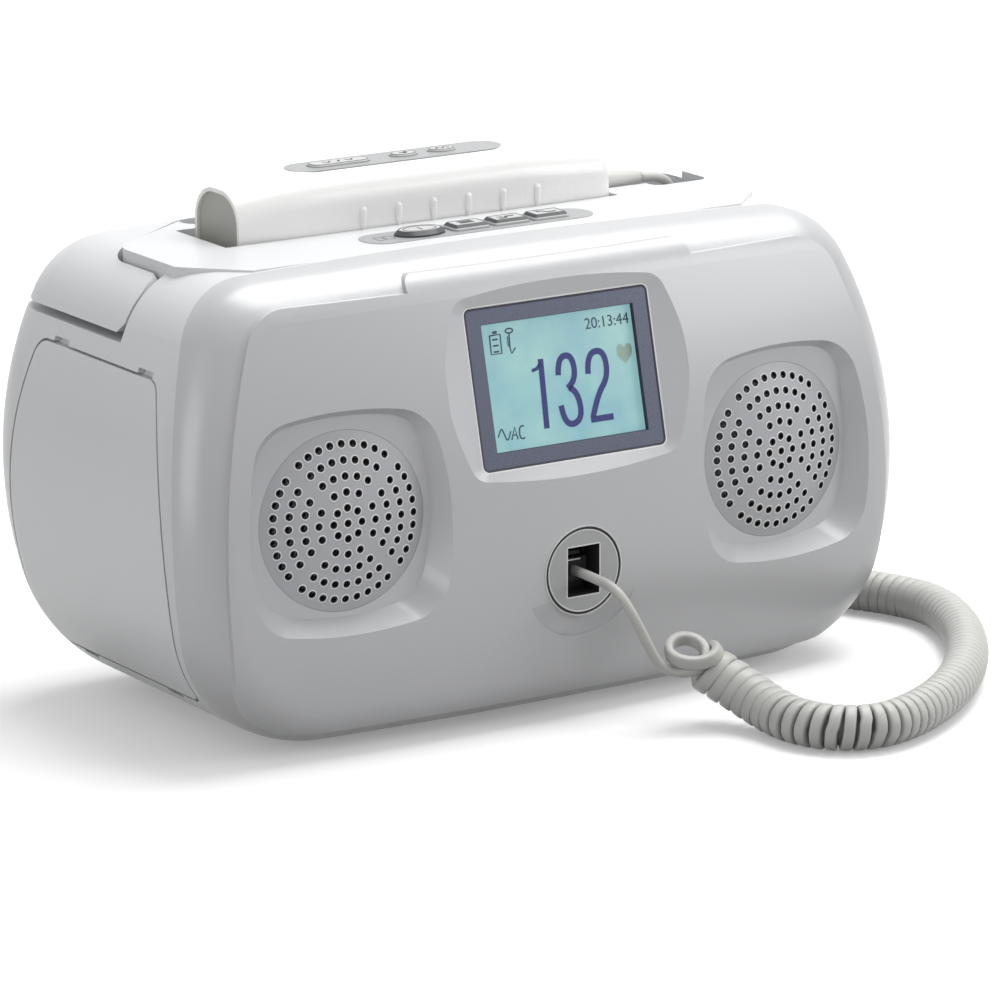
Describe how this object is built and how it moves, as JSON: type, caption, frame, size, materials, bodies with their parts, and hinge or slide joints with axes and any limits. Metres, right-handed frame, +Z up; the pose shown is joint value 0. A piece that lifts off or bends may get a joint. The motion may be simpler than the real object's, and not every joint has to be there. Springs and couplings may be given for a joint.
{
  "type": "fetal doppler monitor",
  "caption": "Table-top fetal doppler monitor with a display, stereo speakers, a fold-up carry handle and a wand probe on a curly cord in its top cradle.",
  "frame": {"origin": "centre of the footprint of the object without its free cord, at the table", "axes": "+X to the right seen from the front, +Y to the back, so the display faces -Y, +Z up"},
  "size_m": [0.2999, 0.2608, 0.1669],
  "materials": {
    "front_plastic": "satin pearl grey",
    "housing_plastic": "satin light grey",
    "pin_steel": "brushed",
    "grille_plastic": "satin grey",
    "driver_black": "matte",
    "bezel_plastic": "gloss slate blue",
    "window": "clear",
    "lcd": "backlit teal",
    "jack_plastic": "satin grey",
    "socket_plastic": "matte black",
    "plug_plastic": "gloss clear grey",
    "label_film": "satin grey",
    "key_plastic": "satin light grey",
    "board": "satin green",
    "probe_plastic": "gloss white",
    "transducer_rubber": "satin warm grey",
    "crystal": "gloss ceramic",
    "cord_rubber": "satin light grey",
    "chassis_steel": "brushed",
    "module_plastic": "matte black",
    "inlet_plastic": "matte black",
    "foot_rubber": "matte black"
  },
  "bodies": {
    "casing": {"front_shell": "front_plastic", "rear_housing": "housing_plastic", "speaker_grille_left": "grille_plastic", "speaker_grille_right": "grille_plastic", "speaker_driver_left": "driver_black", "speaker_driver_right": "driver_black", "lcd_bezel": "bezel_plastic", "lcd_window": "window", "lcd_module": "lcd", "jack_plate": "jack_plastic", "jack_socket": "socket_plastic", "front_plug": "plug_plastic", "deck_label": "label_film", "key_board": "board", "cord_front_lead": "cord_rubber", "cord_coil": "cord_rubber", "cord_rear_lead": "cord_rubber", "chassis": "chassis_steel", "main_board": "board", "power_module": "module_plastic", "battery_pack": "module_plastic", "mains_inlet": "inlet_plastic", "case_screws": "pin_steel", "rubber_feet": "foot_rubber"},
    "handle": {"carry_handle": "housing_plastic", "handle_pins": "pin_steel"},
    "battery_cover": {"side_cover": "housing_plastic"},
    "power_button": {"power_key": "key_plastic"},
    "left_button": {"deck_key_left": "key_plastic"},
    "middle_button": {"deck_key_middle": "key_plastic"},
    "right_button": {"deck_key_right": "key_plastic"},
    "probe": {"probe_base": "probe_plastic", "probe_cover": "probe_plastic", "probe_label": "label_film", "probe_board": "board", "probe_head": "probe_plastic", "transducer_face": "transducer_rubber", "probe_crystals": "crystal", "probe_gland": "cord_rubber"},
    "probe_long_button": {"probe_key_long": "key_plastic"},
    "probe_near_button": {"probe_key_near": "key_plastic"},
    "probe_far_button": {"probe_key_far": "key_plastic"}
  },
  "joints": [
    {"name": "handle_hinge", "type": "hinge", "parent": "casing", "child": "handle", "pos_m": [0, 0.005, 0.137], "axis": [1, 0, 0], "range_deg": [0, 90]},
    {"name": "battery_cover_slide", "type": "slide", "parent": "casing", "child": "battery_cover", "axis": [-1, 0, 0], "range_m": [0, 0.03]},
    {"name": "power_press", "type": "slide", "parent": "casing", "child": "power_button", "axis": [0, 0, -1], "range_m": [0, 0.0005], "stiffness_N_per_m": 600, "springref_m": -0.0005},
    {"name": "left_press", "type": "slide", "parent": "casing", "child": "left_button", "axis": [0, 0, -1], "range_m": [0, 0.0005], "stiffness_N_per_m": 600, "springref_m": -0.0005},
    {"name": "middle_press", "type": "slide", "parent": "casing", "child": "middle_button", "axis": [0, 0, -1], "range_m": [0, 0.0005], "stiffness_N_per_m": 600, "springref_m": -0.0005},
    {"name": "right_press", "type": "slide", "parent": "casing", "child": "right_button", "axis": [0, 0, -1], "range_m": [0, 0.0005], "stiffness_N_per_m": 600, "springref_m": -0.0005},
    {"name": "probe_lift", "type": "slide", "parent": "casing", "child": "probe", "axis": [0, 0, 1], "range_m": [0, 0.014]},
    {"name": "probe_long_press", "type": "slide", "parent": "probe", "child": "probe_long_button", "axis": [0, 0, -1], "range_m": [0, 0.0004], "stiffness_N_per_m": 600, "springref_m": -0.0005},
    {"name": "probe_near_press", "type": "slide", "parent": "probe", "child": "probe_near_button", "axis": [0, 0, -1], "range_m": [0, 0.0004], "stiffness_N_per_m": 600, "springref_m": -0.0005},
    {"name": "probe_far_press", "type": "slide", "parent": "probe", "child": "probe_far_button", "axis": [0, 0, -1], "range_m": [0, 0.0004], "stiffness_N_per_m": 600, "springref_m": -0.0005}
  ]
}
